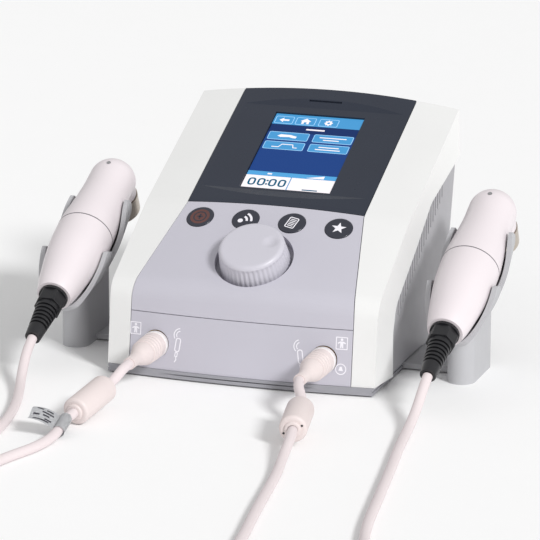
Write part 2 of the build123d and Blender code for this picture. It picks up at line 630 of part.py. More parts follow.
def make_ferrite(near, far):
    """Moulded ferrite sleeve lying between two points of the lead."""
    near, far = Vector(*near), Vector(*far)
    length = (far - near).length
    body = Pos(0, 0, length / 2) * Cylinder(FERRITE_R, length)
    body = fillet(body.edges().filter_by(GeomType.CIRCLE), 2.6)
    return Plane(origin=near, z_dir=(far - near).normalized()) * body


# ---- handpieces and holders ----------------------------------------------------------------------------

def hand_plane(side):
    """Plane at the nose of a handpiece, z along its axis, y down and back, x to the right."""
    tilt = radians(REST_ANGLE)
    return Plane(origin=(side * HOLDER_X, NOSE[0], NOSE[1]), x_dir=(1, 0, 0), z_dir=(0, cos(tilt), sin(tilt)))


def grip_curve(gap):
    return Spline([(r + gap, s) for r, s in GRIP_LINE], tangents=[(0.36, 1), (0, 1)])


def head_curve(gap):
    return Spline([(r + gap, s) for r, s in HEAD_LINE], tangents=[(0, 1), (-0.02, 1)])


def hand_outline(gap):
    """Half outline of the handpiece, grown by gap, closed on its axis."""
    grip, head = grip_curve(gap), head_curve(gap)
    start, end = Vector(GRIP_LINE[0][0] + gap, 0), Vector(HEAD_LINE[-1][0] + gap, HEAD_LINE[-1][1])
    nose = Polyline((0, 0), (start.X, 0))
    cap_s = HEAD_END - HEAD_R
    side = Line((end.X, end.Y), (HEAD_R + gap, cap_s))
    cap_r = HEAD_R + gap
    cap_mid = (cap_r * cos(pi / 4), cap_s + cap_r * sin(pi / 4))
    cap = ThreePointArc((cap_r, cap_s), cap_mid, (0, cap_s + cap_r))
    return nose, grip, head, side, cap


def hand_solid(gap=0.0):
    nose, grip, head, side, cap = hand_outline(gap)
    axis_line = Line((0, HEAD_END + gap), (0, 0))
    face = make_face(Wire([nose.edge(), grip.edge(), head.edge(), side.edge(), cap.edge(), axis_line.edge()]))
    return revolve(Plane.XZ * face, Axis.Z)


def make_grip():
    shell = hand_solid() & (Pos(0, 0, (SEAM_AT - 0.1) / 2) * Box(60, 60, SEAM_AT - 0.1))
    hollow = hand_solid(-2.4) & (Pos(0, 0, 60) * Box(60, 60, 114))
    return shell - hollow - Pos(0, 0, 1) * Cylinder(4.2, 10)


def make_head():
    shell = hand_solid() & (Pos(0, 0, 100) * Box(60, 60, 2 * (100 - SEAM_AT - 0.1)))
    collar = Pos(0, COLLAR_DEPTH / 2, SOUND_AT) * Rot(90, 0, 0) * Cylinder(COLLAR_R, COLLAR_DEPTH)
    shell += collar
    shell -= Pos(0, COLLAR_DEPTH + 10, SOUND_AT) * Rot(90, 0, 0) * Cylinder(SOUND_R + 0.3, 20)
    hollow = hand_solid(-2.4) & (Pos(0, 0, 100) * Box(60, 60, 2 * (100 - SEAM_AT) + 1))
    bore = Pos(0, COLLAR_DEPTH / 2 + 1, SOUND_AT) * Rot(90, 0, 0) * Cylinder(COLLAR_R - 2, COLLAR_DEPTH + 2)
    screw = Pos(0, -HEAD_R, SCREW_AT) * Rot(90, 0, 0) * Cylinder(1.3, 12)
    return shell - hollow - bore - screw


def make_sound_head():
    """Aluminium treatment head: a cup with a flat face, stepped to sit in the collar."""
    face = SOUND_DEPTH
    stem, seat = COLLAR_R - 2.1, COLLAR_DEPTH + 0.6
    outline = Polyline((0, COLLAR_DEPTH - 2), (stem, COLLAR_DEPTH - 2), (stem, seat), (SOUND_R, seat),
                       (SOUND_R, face), (0, face), close=True)
    profile = make_face(outline)
    profile = fillet(profile.vertices().filter_by(lambda v: v.X > SOUND_R - 0.1 and v.Y > face - 0.1), 1.6)
    cup = revolve(Plane.XZ * profile, Axis.Z)
    bottom, top = COLLAR_DEPTH - 3, face - 1.5
    cup -= Pos(0, 0, (bottom + top) / 2) * Cylinder(COLLAR_R - 4, top - bottom)
    return Pos(0, 0, SOUND_AT) * Rot(-90, 0, 0) * cup


def make_crystal():
    disc_z = SOUND_DEPTH - 1.5 - 1.1
    return Pos(0, 0, SOUND_AT) * Rot(-90, 0, 0) * (Pos(0, 0, disc_z) * Cylinder(COLLAR_R - 4.4, 2.0))


def make_gland_nut():
    hexagon = extrude(RegularPolygon(NUT_R, 6), NUT_LEN)
    rounded = hexagon & (Pos(0, 0, NUT_LEN / 2) * Cylinder(NUT_R * 0.97, NUT_LEN))
    rounded = rounded + Pos(0, 0, NUT_LEN - 0.9) * Cylinder(NUT_R * 0.99, 1.8)
    stem = Pos(0, 0, NUT_LEN + 2.5) * Cylinder(4.1, 5.2)
    bore = Pos(0, 0, NUT_LEN / 2) * Cylinder(CORD_R + 0.15, 3 * NUT_LEN)
    return Pos(0, 0, -NUT_LEN - 0.1) * (rounded + stem - bore)


def make_bend_relief():
    """Tapered ribbed sleeve below the nut."""
    top, end = -NUT_LEN - 0.2, -RELIEF_END
    length = top - end
    cone = Pos(0, 0, end + length / 2) * Cone(RELIEF_R[1], RELIEF_R[0], length)
    for i in range(RELIEF_RIBS):
        z = top - 3.4 - i * (length - 9) / RELIEF_RIBS
        r = RELIEF_R[1] + (RELIEF_R[0] - RELIEF_R[1]) * (z - end) / length
        cone -= Pos(0, 0, z) * (Cylinder(r + 2, 1.3) - Cylinder(r - 1.0, 1.3))
    return cone - Pos(0, 0, end + length / 2) * Cylinder(CORD_R + 0.15, length + 1)


def make_head_screw():
    screw = Pos(0, -HEAD_R + 0.6, SCREW_AT) * Rot(90, 0, 0) * (Cylinder(1.2, 1.6))
    return screw


def lift_space(gap):
    """Room that the handpiece needs in its cradle and on its way straight up out of it."""
    nose, grip, head, side, cap = hand_outline(gap)
    half = make_face(Wire([nose.edge(), grip.edge(), head.edge(), side.edge(), cap.edge(),
                           Line((0, HEAD_END + gap), (0, 0)).edge()]))
    plan = half + mirror(half, Plane.YZ)
    way_out = extrude(Plane.XZ * plan, 80)
    room = hand_solid(gap) + way_out
    nose_room = extrude(Plane.XY * (Circle(NUT_R + 1) + Pos(0, -40) * Rectangle(2 * NUT_R + 2, 80)), -60)
    sound = Pos(0, SOUND_DEPTH / 2, SOUND_AT) * Rot(-90, 0, 0) * Cylinder(SOUND_R + 1.5, SOUND_DEPTH + 3)
    return room, nose_room, sound


def cradle_rim():
    """Side view of the cradle, s along the axis and t above it: two fins with a notch between."""
    line = Polyline((5, -40), (5, -11), (14, -8), (30, -0.5), (37.5, 3.2), (42, -0.5), (44, -9), (48.2, -9.5),
                    (62, -3.5), (75, 3.5), (81.4, 5.5), (84, 1), (81.5, -8), (81.5, -40), close=True)
    return fillet(line.vertices().filter_by(lambda v: v.Y > -30), CRADLE_ROUND)


def make_holder(side):
    plane = hand_plane(side)
    outer = hand_solid(CRADLE_WALL + CRADLE_GAP)
    side_view = Plane(origin=(0, 0, 0), x_dir=(0, 0, 1), z_dir=(1, 0, 0)) * make_face(cradle_rim())
    trough = outer & extrude(side_view, 40, both=True)
    foot = Pos(side * HOLDER_X, (COLUMN_Y[0] + COLUMN_Y[1]) / 2, 0)
    length = COLUMN_Y[1] - COLUMN_Y[0]
    column = foot * extrude(Rot(0, 0, 90) * SlotOverall(length, COLUMN_W), 90)
    below = plane * (Pos(0, 60 + 7.5, 60) * Box(200, 120, 400))
    column = column & below
    holder = plane * trough + column
    near, far = sorted((side * (BASE_HALF - 9), side * (HOLDER_X - 2)))
    holder += block(near, far, PLATE_Y[0], PLATE_Y[1], PLATE_Z[0], PLATE_Z[1])
    room, nose_room, sound = lift_space(CRADLE_GAP)
    holder = holder - plane * room - plane * nose_room - plane * sound
    inner = foot * extrude(Rot(0, 0, 90) * SlotOverall(length - 5, COLUMN_W - 5), COLUMN_HOLLOW)
    return holder - inner


def make_holder_soles():
    soles = []
    for side in (-1, 1):
        foot = Pos(side * HOLDER_X, (COLUMN_Y[0] + COLUMN_Y[1]) / 2, 0)
        length = COLUMN_Y[1] - COLUMN_Y[0]
        soles.append(foot * extrude(Rot(0, 0, 90) * SlotOverall(length - 5.2, COLUMN_W - 5.2), 2.0))
    return Compound(soles)


# ---- cords -----------------------------------------------------------------------------------------

def cord_path(route):
    """Straight runs joined by tangent arcs as large as the runs allow; also returns the smallest radius."""
    points = [Vector(*p) for p in route]
    radii = []
    for before, corner, after in zip(points, points[1:], points[2:]):
        run_in, run_out = corner - before, after - corner
        turn = radians(run_in.get_angle(run_out))
        radii.append(ARC_SHARE * min(run_in.length, run_out.length) / tan(turn / 2))
    return FilletPolyline(*points, radius=radii), radii


def make_cord(name):
    path, radii = cord_path(CORD_ROUTES[name])
    start = Vector(*CORD_ROUTES[name][0])
    heading = (Vector(*CORD_ROUTES[name][1]) - start).normalized()
    tube = sweep(Plane(origin=start, z_dir=heading) * Circle(CORD_R), path=path)
    expected = pi * CORD_R ** 2 * path.length
    print(f"{name}: length {path.length:.1f}, volume ratio {tube.volume / expected:.4f},",
          "radii", [round(r, 1) for r in radii])
    return tube


def make_coil(centre, turn_radii):
    """Outer shape of a neat round coil of two layers."""
    inner, outer = turn_radii[0] - CORD_R, turn_radii[1] + CORD_R
    ring = Pos(centre[0], centre[1], COIL_H / 2) * (Cylinder(outer, COIL_H) - Cylinder(inner, COIL_H))
    return fillet(ring.edges().group_by(Axis.Z)[-1], CORD_R)


def make_label_flag():
    """Folded paper label round the left lead, with its flag lying out to the side."""
    a, b = Vector(*CORD_ROUTES["cord_lead_left"][-2]), Vector(*CORD_ROUTES["cord_lead_left"][-3])
    run = (b - a).normalized()
    start = a + run * LABEL_START
    plane = Plane(origin=start, x_dir=(-1, 0, LABEL_LIFT), z_dir=run)
    wrap = Circle(CORD_R + LABEL_GAP + LABEL_T) - Circle(CORD_R + LABEL_GAP)
    flag = Pos(CORD_R + LABEL_GAP + LABEL_FLAG / 2) * Rectangle(LABEL_FLAG, LABEL_T)
    return plane * extrude(wrap + flag, LABEL_W)


# ---- export ----------------------------------------------------------------------------------------

def sides():
    return (("left", -1), ("right", 1))


def console_nodes():
    nodes = {
        "base_tray": make_base_tray(), "feet": make_feet(), "lower_case": make_lower_case(),
        "top_cover": make_top_cover(), "socket_panel": make_socket_panel(), "key_panel": make_key_panel(),
        "bezel": make_bezel(), "touch_glass": make_touch_glass(), "lcd_module": make_lcd_module(),
        "dial": make_dial(), "encoder_shaft": make_encoder_shaft(), "encoder": make_encoder(),
        "key_board": make_key_board(), "main_board": make_main_board(), "output_boards": make_output_boards(),
        "heat_sink": make_heat_sink(), "power_supply": make_power_supply(), "speaker": make_speaker(),
        "mains_inlet": make_mains_inlet(), "switch_frame": make_switch_frame(),
        "switch_rocker": make_switch_rocker(), "earth_stud": make_earth_stud(),
        "type_plate": make_type_plate(), "cover_screws": make_cover_screws(),
        "holder_soles": make_holder_soles(), "label_flag": make_label_flag(),
    }
    for name, x in zip(BUTTON_NAMES, BUTTON_X):
        nodes[name] = make_button(x)
    return nodes


def side_nodes(name, side):
    """Everything that comes in a left and a right copy."""
    place = hand_plane(side)
    nodes = {
        "socket": make_socket(side), "plug": make_plug(side), "holder": make_holder(side),
        "ferrite": make_ferrite(*FERRITE_ENDS[name]),
        "coil": make_coil(COIL_CENTRE[name], COIL_TURN_R[name]),
        "grip": place * make_grip(), "head": place * make_head(), "sound_head": place * make_sound_head(),
        "crystal": place * make_crystal(), "gland_nut": place * make_gland_nut(),
        "bend_relief": place * make_bend_relief(), "head_screw": place * make_head_screw(),
    }
    for cord in ("cord_hand", "cord_lead", "cord_plug"):
        nodes[cord] = make_cord(f"{cord}_{name}")
    return {f"{node}_{name}": solid for node, solid in nodes.items()}


def main():
    nodes = console_nodes()
    for name, side in sides():
        nodes.update(side_nodes(name, side))
    os.makedirs("parts", exist_ok=True)
    for name, solid in nodes.items():
        export_step(Pos(0, -DEPTH_CENTRE, 0) * solid, f"parts/{name}.step")
    print(len(nodes), "nodes")


main()
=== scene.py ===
"""Looks of the desktop ultrasound therapy unit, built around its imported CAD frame.

The drawing's numbers are millimetres with y = 0 at the foot of the console's front face; at()
turns them into the row frame, in metres. X is to the user's right, Y away from the user, Z up.
"""
from math import atan2, cos, pi, radians, sin, sqrt, tan

import bmesh
import bpy
from mathutils import Matrix, Vector


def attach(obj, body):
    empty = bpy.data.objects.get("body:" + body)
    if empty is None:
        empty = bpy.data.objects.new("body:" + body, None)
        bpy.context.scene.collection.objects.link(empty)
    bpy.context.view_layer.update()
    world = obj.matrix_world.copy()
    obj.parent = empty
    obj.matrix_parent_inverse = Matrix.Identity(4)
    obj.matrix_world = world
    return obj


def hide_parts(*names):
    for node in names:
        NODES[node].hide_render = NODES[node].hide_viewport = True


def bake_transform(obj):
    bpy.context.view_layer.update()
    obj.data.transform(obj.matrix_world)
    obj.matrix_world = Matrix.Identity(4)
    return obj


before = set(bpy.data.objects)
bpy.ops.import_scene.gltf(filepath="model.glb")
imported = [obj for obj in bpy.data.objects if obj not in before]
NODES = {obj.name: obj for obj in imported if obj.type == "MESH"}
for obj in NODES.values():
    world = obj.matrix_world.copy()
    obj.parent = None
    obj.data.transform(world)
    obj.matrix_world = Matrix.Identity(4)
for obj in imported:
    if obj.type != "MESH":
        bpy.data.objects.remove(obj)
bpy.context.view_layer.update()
SCENE = bpy.context.scene

# ---- driving dimensions of the drawing, in millimetres -------------------------------------------
MM = 0.001
DEPTH_CENTRE = 73.48
KEY_FOLD = (6.0, 51.8)
BEZEL_FOLD = (64.5, 86.3)
REAR_TOP = (165.5, 130.8)
FRONT_LEAN = 7.5
BASE_H = 5.0
REAR_TILT = 14.0
CROWN_R = 650.0
BUTTONS = (("stop_key", -40.4), ("output_key", -13.5), ("list_key", 13.5), ("star_key", 40.4))
BUTTON_S = 55.3
BUTTON_PROUD = 0.5
SCREEN_HALF = 26.6
SCREEN_S = (16.8, 88.2)
FLAT_HALF = 48.0
SOCKET_X, SOCKET_Z = 48.3, 18.8
DIAL_S, DIAL_LOW, DIAL_TOP, DIAL_RIBS = 26.2, -5.2, 10.0, 44
SHAFT_BORE_R, SHAFT_BORE_TOP = 3.05, 6.0
CORD_R = 2.75
FERRITE_R = 7.5
HOLDER_X = 113.0
REST_ANGLE = 25.5
NOSE = (15.4, 36.9)
SEAM_AT, SEAM_R = 53.4, 16.4

PLUG_FACE_Y, PLUG_R = 2.6, 7.2

# The leads' routes, the same points as in the CAD source.
HAND_ROUTE = {
    "left": [(-113, -16.9, 21.45), (-112.8, -25.4, 17.0), (-111.4, -34.6, 10.4),
             (-108.9, -44.6, 5.6), (-105.0, -56.4, 3.4), (-100.6, -70.0, 2.8),
             (-96.2, -86.0, 2.75), (-92.6, -103.0, 2.75), (-90.4, -118.5, 2.75),
             (-90.2, -133.0, 2.75), (-98.0, -147.0, 2.75), (-112.0, -155.0, 2.75),
             (-127.5, -155.5, 2.75)],
    "right": [(113, -16.9, 21.45), (113, -25.4, 17.0), (113.1, -35.6, 10.2),
              (113.4, -47.6, 5.2), (114.6, -61.6, 3.1), (116.8, -78.0, 2.8),
              (120.0, -97.0, 2.75), (124.6, -122.4, 2.75), (128.9, -148.4, 2.75),
              (133.1, -173.0, 2.75), (137.6, -201.0, 2.75), (143.0, -226.0, 2.75),
              (150.0, -250.0, 2.75), (158.4, -270.5, 2.75), (166.6, -288.0, 2.75),
              (170.6, -303.0, 2.75), (170.0, -317.0, 2.75)],
}
LEAD_ROUTE = {
    "left": [(-86.6, -221.1, 8.3), (-78.0, -209.6, 7.8), (-72.4, -196.0, 4.8),
             (-70.8, -180.0, 3.0), (-66.4, -163.2, 2.75), (-60.4, -147.4, 2.8),
             (-57.4, -131.6, 3.0), (-57.2, -118.0, 4.6), (-58.4, -107.0, 6.4),
             (-57.2, -97.6, 7.6)],
    "right": [(91.6, -314.0, 8.3), (89.8, -300.0, 8.2), (90.0, -285.4, 5.4),
              (90.6, -268.0, 3.0), (87.6, -244.0, 2.75), (83.2, -219.0, 2.75), (79.2, -194.6, 2.75),
              (75.6, -169.6, 2.75), (72.0, -146.6, 2.8), (68.4, -126.4, 4.8),
              (66.7, -110.8, 8.6), (64.4, -98.6, 10.6)],
}
PLUG_ROUTE = {
    "left": [(-52.6, -62.0, 12.3), (-51.7, -57.2, 13.2), (-50.3, -52.7, 15.2),
             (-49.0, -48.3, 17.6), (-48.35, -43.4, 18.8), (-48.3, -38.4, 18.8)],
    "right": [(58.0, -65.0, 12.4), (56.9, -59.6, 12.9), (54.9, -54.5, 14.4),
              (52.2, -49.7, 16.5), (49.7, -44.6, 18.1), (48.3, -38.4, 18.8)],
}
COIL_CENTRE = {"left": (-121.0, -197.0), "right": (131.0, -307.0)}
COIL_TURN_R = {"left": (24.6, 42.0), "right": (22.9, 40.0)}
COIL_DIRECTION = {"left": 1, "right": -1}       # seen from above, 1 is anticlockwise
COIL_WHOLE_TURNS = 6
COIL_STEPS = 16                                 # control points to a turn


def at(x, y, z):
    """A point of the drawing as a point of the row frame."""
    return Vector((x * MM, (y - DEPTH_CENTRE) * MM, z * MM))


def frame_of(origin, x_dir, z_dir):
    """Matrix of a place in the row frame, from its origin, x direction and z direction."""
    x, z = Vector(x_dir).normalized(), Vector(z_dir).normalized()
    turn = Matrix((x, z.cross(x), z)).transposed()
    return Matrix.Translation(origin) @ turn.to_4x4()


def slope_frame(low, high, x=0.0, s=0.0):
    """Place on a crowned slope: x across, y up the slope, z out of the surface."""
    run = Vector((0, high[0] - low[0], high[1] - low[1])).normalized()
    out = Vector((0, -run.z, run.y))
    tilt = x / CROWN_R
    normal = Vector((tilt, 0, 0)) + out * sqrt(1 - tilt ** 2)
    across = Vector((sqrt(1 - tilt ** 2), 0, 0)) - out * tilt
    sag = CROWN_R - sqrt(CROWN_R ** 2 - x ** 2)
    foot = Vector((x, low[0], low[1])) + run * s - out * sag
    return frame_of(at(*foot), across, normal)


FRONT_FOOT = (KEY_FOLD[0] - (KEY_FOLD[1] - BASE_H) * tan(radians(FRONT_LEAN)), BASE_H)


# ---- materials -----------------------------------------------------------------------------------

GLOSS_SCALE = 140.0               # of the noise that makes the gloss uneven
RELIEF_DEPTH = 0.0002             # of the surface grain, in metres


def srgb(red, green, blue):
    """Linear colour of an 8-bit screen colour."""
    linear = []
    for value in (red, green, blue):
        share = value / 255
        linear.append(share / 12.92 if share <= 0.04045 else ((share + 0.055) / 1.055) ** 2.4)
    return tuple(linear)


def noise(tree, place, scale, detail=2.0, roughness=0.5):
    node = tree.nodes.new("ShaderNodeTexNoise")
    node.inputs["Scale"].default_value = scale
    node.inputs["Detail"].default_value = detail
    node.inputs["Roughness"].default_value = roughness
    tree.links.new(place, node.inputs["Vector"])
    return node.outputs["Fac"]


def ranged(tree, value, low, high):
    node = tree.nodes.new("ShaderNodeMapRange")
    node.inputs["From Min"].default_value = 0.3
    node.inputs["From Max"].default_value = 0.7
    node.inputs["To Min"].default_value = low
    node.inputs["To Max"].default_value = high
    tree.links.new(value, node.inputs["Value"])
    return node.outputs["Result"]


def make_material(name, colour, rough=0.45, spread=0.025, grain=2600.0, bump=0.04, metallic=0.0,
                  coat=0.0, shine=0.5, patch=22.0):
    """Moulded or painted surface: slow colour drift, uneven gloss and a fine grain."""
    material = bpy.data.materials.new("look_" + name)
    material.use_nodes = True
    tree = material.node_tree
    shader = tree.nodes["Principled BSDF"]
    place = tree.nodes.new("ShaderNodeTexCoord").outputs["Object"]
    mix = tree.nodes.new("ShaderNodeMix")
    mix.data_type = "RGBA"
    mix.inputs[6].default_value = (*(c * (1 - spread) for c in colour), 1)
    mix.inputs[7].default_value = (*(min(1.0, c * (1 + spread)) for c in colour), 1)
    tree.links.new(ranged(tree, noise(tree, place, patch), 0, 1), mix.inputs[0])
    tree.links.new(mix.outputs[2], shader.inputs["Base Color"])
    gloss = ranged(tree, noise(tree, place, GLOSS_SCALE, 3.0), max(0.03, rough - 0.04),
                   min(1.0, rough + 0.05))
    tree.links.new(gloss, shader.inputs["Roughness"])
    grain_bump = tree.nodes.new("ShaderNodeBump")
    grain_bump.inputs["Strength"].default_value = bump
    grain_bump.inputs["Distance"].default_value = RELIEF_DEPTH
    tree.links.new(noise(tree, place, grain, 2.0), grain_bump.inputs["Height"])
    tree.links.new(grain_bump.outputs["Normal"], shader.inputs["Normal"])
    shader.inputs["Metallic"].default_value = metallic
    shader.inputs["Coat Weight"].default_value = coat
    shader.inputs["Coat Roughness"].default_value = 0.08
    shader.inputs["Specular IOR Level"].default_value = shine
    return material


def make_screen_look(name, colour):
    """Lit area of the display: mostly its own light, under a smooth dark cover layer."""
    surface = tuple(0.25 * c for c in colour)
    material = make_material("screen_" + name, surface, 0.35, 0.03, bump=0.0)
    shader = material.node_tree.nodes["Principled BSDF"]
    shader.inputs["Specular IOR Level"].default_value = 0.15
    shader.inputs["Emission Color"].default_value = (*colour, 1)
    shader.inputs["Emission Strength"].default_value = 0.85
    return material


# A CAD node's finish comes from the record's slot of the same name.
LOOKS = {
    "cover_white": make_material("cover_white", srgb(227, 227, 226), 0.40, 0.012, bump=0.05),
    "panel_lavender": make_material("panel_lavender", srgb(190, 188, 198), 0.42, 0.015, bump=0.08),
    "bezel_slate": make_material("bezel_slate", srgb(42, 47, 59), 0.30, 0.05, bump=0.06, shine=0.35),
    "case_grey": make_material("case_grey", srgb(168, 167, 171), 0.55, 0.03, bump=0.12),
    "base_grey": make_material("base_grey", srgb(150, 150, 156), 0.55, 0.03, bump=0.10),
    "key_navy": make_material("key_navy", srgb(42, 44, 56), 0.28, 0.05, bump=0.05, coat=0.2),
    "dial_lavender": make_material("dial_lavender", srgb(196, 194, 203), 0.36, 0.012, bump=0.05),
    "screen": make_material("screen", srgb(24, 42, 74), 0.30, 0.04, bump=0.0),
    "touch_glass": make_material("touch_glass", srgb(18, 26, 44), 0.08, 0.04, bump=0.0, coat=0.6),
    "lead_cream": make_material("lead_cream", srgb(222, 211, 212), 0.44, 0.02, bump=0.06),
    "plug_cream": make_material("plug_cream", srgb(221, 209, 207), 0.48, 0.03, bump=0.08),
    "hand_white": make_material("hand_white", srgb(224, 216, 219), 0.36, 0.012, bump=0.04, coat=0.1),
    "gland_black": make_material("gland_black", srgb(28, 28, 31), 0.36, 0.10, bump=0.10),
    "sound_metal": make_material("sound_metal", srgb(196, 186, 174), 0.32, 0.04, bump=0.05,
                                 metallic=0.9),
    "ceramic": make_material("ceramic", srgb(236, 232, 220), 0.35, 0.03),
    "holder_grey": make_material("holder_grey", srgb(180, 180, 183), 0.50, 0.02, bump=0.10),
    "foot_rubber": make_material("foot_rubber", srgb(45, 45, 46), 0.80, 0.10, bump=0.20),
    "board_green": make_material("board_green", srgb(36, 98, 60), 0.40, 0.12, bump=0.15, coat=0.3),
    "steel": make_material("steel", srgb(190, 190, 192), 0.28, 0.05, bump=0.05, metallic=1.0),
    "sink_alu": make_material("sink_alu", srgb(184, 186, 190), 0.38, 0.05, bump=0.08, metallic=1.0),
    "black_plastic": make_material("black_plastic", srgb(40, 40, 42), 0.45, 0.10, bump=0.12),
    "brass_part": make_material("brass_part", srgb(214, 180, 110), 0.30, 0.06, bump=0.05, metallic=1.0),
    "paper": make_material("paper", srgb(212, 213, 215), 0.70, 0.02, grain=900.0, bump=0.03),
}
SCREEN_LOOKS = {
    "bar": make_screen_look("bar", srgb(70, 150, 205)),
    "outline": make_screen_look("outline", srgb(158, 210, 250)),
    "navy": make_screen_look("navy", srgb(22, 62, 128)),
    "deep": make_screen_look("deep", srgb(14, 44, 98)),
    "strip": make_screen_look("strip", srgb(80, 160, 215)),
    "white": make_screen_look("white", srgb(248, 242, 246)),
    "teal": make_screen_look("teal", srgb(6, 92, 122)),
}
PRINT_WHITE = make_material("print_white", srgb(236, 234, 240), 0.50, 0.01, bump=0.0)
PRINT_DARK = make_material("print_dark", srgb(98, 96, 106), 0.55, 0.03, bump=0.0)
PRINT_RUST = make_material("print_rust", srgb(94, 58, 54), 0.35, 0.12, bump=0.0)
PLUG_COLLAR = make_material("plug_collar", srgb(232, 228, 227), 0.40, 0.02, bump=0.03)
SEAM_DARK = make_material("seam_dark", srgb(96, 92, 98), 0.60, 0.04, bump=0.0)

for node in NODES.values():
    for material_slot in node.material_slots:
        material_slot.material = LOOKS[material_slot.material.name.split(".")[0]]


# ---- pieces --------------------------------------------------------------------------------------

def add_piece(name, build, look, body, place=None, sharp=32.0):
    """Piece from a bmesh in millimetres, set down at place and riding on a body."""
    mesh = bpy.data.meshes.new(name)
    bmesh.ops.recalc_face_normals(build, faces=build.faces)
    build.to_mesh(mesh)
    build.free()
    mesh.transform(Matrix.Scale(MM, 4))
    piece = bpy.data.objects.new(name, mesh)
    SCENE.collection.objects.link(piece)
    mesh.materials.append(look)
    mesh.shade_smooth()
    mesh.set_sharp_from_angle(angle=radians(sharp))
    if place is not None:
        piece.matrix_world = place
    if body:
        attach(piece, body)
    return piece


def join_loops(build, one, other):
    """Quads between two closed loops of equally many points."""
    for i in range(len(one)):
        k = (i + 1) % len(one)
        build.faces.new((one[i], one[k], other[k], other[i]))


def relief(outlines, low, high):
    """Flat raised shapes; an outline is a list of points, or a pair of lists for a ring."""
    build = bmesh.new()
    for outline in outlines:
        if isinstance(outline, tuple):
            loops = [[build.verts.new((x, y, z)) for x, y in ring]
                     for ring in outline for z in (low, high)]
            outer_low, outer_high, inner_low, inner_high = loops
            join_loops(build, outer_high, inner_high)
            join_loops(build, outer_low, inner_low)
            join_loops(build, outer_low, outer_high)
            join_loops(build, inner_low, inner_high)
        else:
            foot = [build.verts.new((x, y, low)) for x, y in outline]
            top = [build.verts.new((x, y, high)) for x, y in outline]
            build.faces.new(foot)
            build.faces.new(top)
            join_loops(build, foot, top)
    return build


def lathe(profile, steps=64):
    """Closed solid of revolution about z, from a closed profile of (radius, z)."""
    build = bmesh.new()
    rings = []
    for radius, z in profile:
        ring = []
        for i in range(steps):
            turn = 2 * pi * i / steps
            ring.append(build.verts.new((radius * cos(turn), radius * sin(turn), z)))
        rings.append(ring)
    for i in range(len(rings)):
        join_loops(build, rings[i], rings[(i + 1) % len(rings)])
    return build


def arc(x, y, radius, start, end, steps=8):
    """Points of an arc, in degrees."""
    points = []
    for i in range(steps + 1):
        turn = radians(start + (end - start) * i / steps)
        points.append((x + radius * cos(turn), y + radius * sin(turn)))
    return points


def circle(x, y, radius, steps=36):
    return arc(x, y, radius, 0, 360 - 360 / steps, steps - 1)


def rounded(x0, x1, y0, y1, radius, steps=4):
    """Outline of a rectangle with rounded corners."""
    return (arc(x1 - radius, y1 - radius, radius, 0, 90, steps)
            + arc(x0 + radius, y1 - radius, radius, 90, 180, steps)
            + arc(x0 + radius, y0 + radius, radius, 180, 270, steps)
            + arc(x1 - radius, y0 + radius, radius, 270, 360, steps))


def frame_ring(x0, x1, y0, y1, radius, width):
    """Outline of a rounded frame of a constant width."""
    inner = rounded(x0 + width, x1 - width, y0 + width, y1 - width, max(0.05, radius - width))
    return rounded(x0, x1, y0, y1, radius), inner


def stroke(points, width):
    """Outline of a line of a constant width through points."""
    left, right = [], []
    for i, (x, y) in enumerate(points):
        before, after = points[max(0, i - 1)], points[min(len(points) - 1, i + 1)]
        dx, dy = after[0] - before[0], after[1] - before[1]
        scale = width / 2 / sqrt(dx ** 2 + dy ** 2)
        left.append((x - dy * scale, y + dx * scale))
        right.append((x + dy * scale, y - dx * scale))
    return left + right[::-1]


def bar(x0, x1, y0, y1):
    return [(x0, y0), (x1, y0), (x1, y1), (x0, y1)]


def add_print(name, outlines, look, body, place, low=-0.06, high=0.06):
    return add_piece(name, relief(outlines, low, high), look, body, place)


# ---- camera and light ----------------------------------------------------------------------------

CAMERA_AT = Vector((0.67143, -2.01034, 0.617997))
CAMERA_AZIMUTH, CAMERA_ELEVATION, CAMERA_ROLL = radians(18.62), radians(15.08), radians(0.08)
CAMERA_LENS = 261.6
FLOOR_HALF = 6.0
SURROUND_STRENGTH = 0.55
KEY_STRENGTH = 2.35
KEY_ANGLE = radians(13)           # seen width of the key light, which softens its shadows
KEY_RUN = (-0.74, 0.52, -0.62)    # direction in which the key light travels


def add_camera():
    """Camera in front of the unit, a little to its right and above it."""
    level = cos(CAMERA_ELEVATION)
    back = Vector((sin(CAMERA_AZIMUTH) * level, -cos(CAMERA_AZIMUTH) * level, sin(CAMERA_ELEVATION)))
    right = Vector((cos(CAMERA_AZIMUTH), sin(CAMERA_AZIMUTH), 0))
    camera = bpy.data.objects.new("camera", bpy.data.cameras.new("camera"))
    SCENE.collection.objects.link(camera)
    camera.matrix_world = frame_of(CAMERA_AT, right, back) @ Matrix.Rotation(CAMERA_ROLL, 4, "Z")
    camera.data.lens = CAMERA_LENS
    camera.data.sensor_width = 36.0
    camera.data.clip_end = 20.0
    SCENE.camera = camera


def add_soft_light(name, place, aim, size, power):
    light = bpy.data.lights.new(name, "AREA")
    light.size = size
    light.energy = power
    lamp = bpy.data.objects.new(name, light)
    SCENE.collection.objects.link(lamp)
    lamp.location = place
    lamp.rotation_euler = (Vector(aim) - Vector(place)).to_track_quat("-Z", "Y").to_euler()


